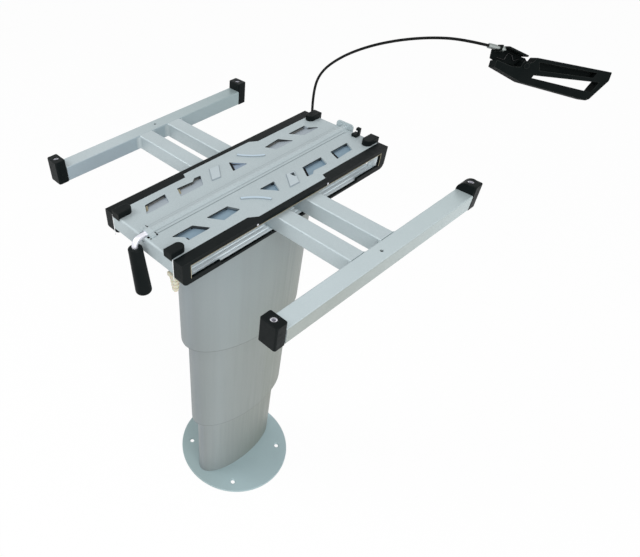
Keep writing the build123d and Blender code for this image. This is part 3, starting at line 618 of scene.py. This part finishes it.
def slot_liners(finishes):
    """Pale nylon edging round the mouth of each slot, above and at both ends."""
    front, rear = FRONT_FACE + SLOT_END, REAR_FACE - SLOT_END
    low, high = BEZEL_LOW + SLOT_LOWER_LIP, PLATE_TOP - SLOT_UPPER_LIP
    boxes = []
    for side in SIDES:
        left, right = sorted((side * BEZEL_FACE, side * (BEZEL_FACE + LINER_PROUD)))
        boxes.append(((left, front, high), (right, rear, high + LINER_WIDTH)))
        boxes.append(((left, front - LINER_WIDTH, low), (right, front, high + LINER_WIDTH)))
        boxes.append(((left, rear, low), (right, rear + LINER_WIDTH, high + LINER_WIDTH)))
    add_boxes("slot_liners", boxes, finishes["liner_nylon"])


def shade_sheets_under_openings(finishes):
    """Sheets inside the carriage, close under the two rows of openings: painted shade for the inside seen
    through them.
    """
    front, rear = CARRIAGE_Y - SHADE_HALF, CARRIAGE_Y + SHADE_HALF
    for side, name in zip(SIDES, ("left_shade", "right_shade")):
        left, right = sorted((side * SHADE_INNER, side * SHADE_OUTER))
        box = ((left, front, SHADE_LOW), (right, rear, SHADE_HIGH))
        add_boxes(name, [box], finishes[name])


def saddle_shadow_strips(finishes):
    """Painted shadow in the gap behind the saddle, and painted shade in two punched slots in front of its
    right wing.
    """
    rear = SADDLE_BACK + SHADOW_STRIP_LENGTH
    on_band = (BEAD_HALF + MM, BAND_HALF, PLATE_TOP + BAND_HEIGHT)
    on_plate = (BAND_HALF, SADDLE_HALF, PLATE_TOP)
    boxes = []
    for inner, outer, level in (on_band, on_plate):
        for side in SIDES:
            left, right = sorted((side * inner, side * outer))
            boxes.append(((left, SADDLE_BACK, level), (right, rear, level + SHADOW_STRIP_HEIGHT)))
    for x, y, width, depth in SADDLE_SLOTS:
        boxes.append(((x, y, PLATE_TOP), (x + width, y + depth, PLATE_TOP + SHADOW_STRIP_HEIGHT)))
    add_boxes("saddle_shadow_strips", boxes, finishes["dark_nylon"])


def end_highlight_strips(finishes):
    """Painted highlights: bright upright edges where the tray's walls show between the end flanges and the
    bezels.
    """
    boxes = []
    for side in SIDES:
        left, right = sorted((side * (BEZEL_INNER - EDGE_WIDTH), side * BEZEL_INNER))
        boxes.append(((left, FRONT_FACE - EDGE_PROUD, BEZEL_LOW), (right, FRONT_FACE, PLATE_TOP)))
        boxes.append(((left, REAR_FACE, BEZEL_LOW), (right, REAR_FACE + EDGE_PROUD, PLATE_TOP)))
    add_boxes("end_highlight_strips", boxes, finishes["end_highlight"])


def on_cable_plane(point):
    """A point of the cable's leaning plane, in the part's frame."""
    forward, upward = point
    along = Vector((math.cos(CABLE_HEADING), math.sin(CABLE_HEADING), 0))
    sideways = Vector((-along.y, along.x, 0))
    rise = sideways * math.sin(CABLE_LEAN) + Vector((0, 0, math.cos(CABLE_LEAN)))
    return CABLE_CORNER + along * forward + rise * upward


def release_cable(finishes):
    """The cable's casing as a smooth curve from the gland to the ferrule."""
    curve = bpy.data.curves.new("cable_casing", "CURVE")
    curve.dimensions = "3D"
    curve.bevel_depth = CABLE_DIAMETER / 2
    curve.bevel_resolution = 6
    curve.resolution_u = 24
    curve.use_fill_caps = True
    spline = curve.splines.new("NURBS")
    spline.points.add(len(CABLE_ROUTE) - 1)
    for point, spot in zip(spline.points, CABLE_ROUTE):
        point.co = (*on_cable_plane(spot), 1)
    spline.order_u = 3
    spline.use_endpoint_u = True
    curve.materials.append(finishes["cable_black"].material)
    cable = bpy.data.objects.new("cable_casing", curve)
    bpy.context.scene.collection.objects.link(cable)
    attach(cable, "carriage")
    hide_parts("release_cable")


def make_camera():
    """The camera at the picture's viewing angle, rolled, and shifted to its framing."""
    azimuth = math.radians(CAMERA_AZIMUTH)
    elevation = math.radians(CAMERA_ELEVATION)
    roll = math.radians(CAMERA_ROLL)
    flat = math.cos(elevation)
    back = Vector((math.sin(azimuth) * flat, -math.cos(azimuth) * flat, math.sin(elevation)))
    level = Vector((0, 0, 1)).cross(back).normalized()
    upright = back.cross(level)
    right = level * math.cos(roll) - upright * math.sin(roll)
    up = level * math.sin(roll) + upright * math.cos(roll)
    data = bpy.data.cameras.new("camera")
    data.sensor_width = SENSOR_WIDTH
    data.lens = FOCAL_PIXELS / IMAGE_WIDTH * SENSOR_WIDTH
    data.shift_x = 0.5 - OPTICAL_CENTRE[0] / IMAGE_WIDTH
    data.shift_y = (OPTICAL_CENTRE[1] - IMAGE_HEIGHT / 2) / IMAGE_WIDTH
    data.clip_start = CAMERA_NEAREST
    camera = bpy.data.objects.new("camera", data)
    turn = Matrix((right, up, back)).transposed().to_4x4()
    camera.matrix_world = Matrix.Translation(CAMERA_TARGET + back * CAMERA_DISTANCE) @ turn
    bpy.context.scene.collection.objects.link(camera)
    bpy.context.scene.camera = camera


def area_lamp(name, place, aim, size, watts):
    """A square soft lamp that faces its aim."""
    lamp = bpy.data.lights.new(name, "AREA")
    lamp.size = size
    lamp.energy = watts
    lamp_object = bpy.data.objects.new(name, lamp)
    lamp_object.location = place
    lamp_object.rotation_euler = (Vector(aim) - Vector(place)).to_track_quat("-Z", "Y").to_euler()
    bpy.context.scene.collection.objects.link(lamp_object)


def show_white(tree, usual, white, share, surface):
    """Mixes a share of white in for rays that the eye follows, straight or by a mirror or glass."""
    path = tree.nodes.new("ShaderNodeLightPath")
    seen = path.outputs["Is Camera Ray"]
    for ray in ("Is Glossy Ray", "Is Transmission Ray"):
        seen = calculate(tree, "MAXIMUM", seen, path.outputs[ray])
    mix = tree.nodes.new("ShaderNodeMixShader")
    tree.links.new(calculate(tree, "MULTIPLY", seen, share), mix.inputs["Fac"])
    tree.links.new(usual, mix.inputs[1])
    tree.links.new(white, mix.inputs[2])
    tree.links.new(mix.outputs["Shader"], surface)


def white_floor():
    """A pale floor that is white to the eye and keeps a faint shadow."""
    bpy.ops.mesh.primitive_plane_add(size=STAGE_SIZE)
    floor = bpy.context.object
    floor.name = "floor"
    material = bpy.data.materials.new("floor_white")
    material.use_nodes = True
    tree = material.node_tree
    shader = tree.nodes["Principled BSDF"]
    shader.inputs["Base Color"].default_value = (STAGE_GREY, STAGE_GREY, STAGE_GREY, 1)
    shader.inputs["Roughness"].default_value = STAGE_ROUGHNESS
    white = tree.nodes.new("ShaderNodeEmission")
    surface = tree.nodes["Material Output"].inputs["Surface"]
    show_white(tree, shader.outputs["BSDF"], white.outputs["Emission"], STAGE_SEEN, surface)
    floor.data.materials.append(material)


def white_surround():
    """A surround that lights the object plainly and is white to the eye."""
    world = bpy.data.worlds.new("surround")
    world.use_nodes = True
    tree = world.node_tree
    usual = tree.nodes["Background"]
    white = tree.nodes.new("ShaderNodeBackground")
    for background in (usual, white):
        background.inputs["Color"].default_value = (1, 1, 1, 1)
    usual.inputs["Strength"].default_value = SURROUND_STRENGTH
    surface = tree.nodes["World Output"].inputs["Surface"]
    show_white(tree, usual.outputs["Background"], white.outputs["Background"], SURROUND_SEEN, surface)
    bpy.context.scene.world = world


def studio():
    """Pale floor, white surround, and soft lamps from the picture's left and from the camera's side."""
    bpy.context.scene.view_settings.view_transform = "Standard"
    white_surround()
    white_floor()
    for name, row in LAMPS.items():
        area_lamp(name, *row)


finishes = {finish.name: finish for finish in make_coats() + make_plastics() + make_metals()}
make_camera()
studio()
paint(finishes)
release_cable(finishes)
slot_liners(finishes)
shade_sheets_under_openings(finishes)
floor_gap_shade(finishes)
saddle_shadow_strips(finishes)
end_highlight_strips(finishes)
for node in SOFT_NODES:
    soften(node)
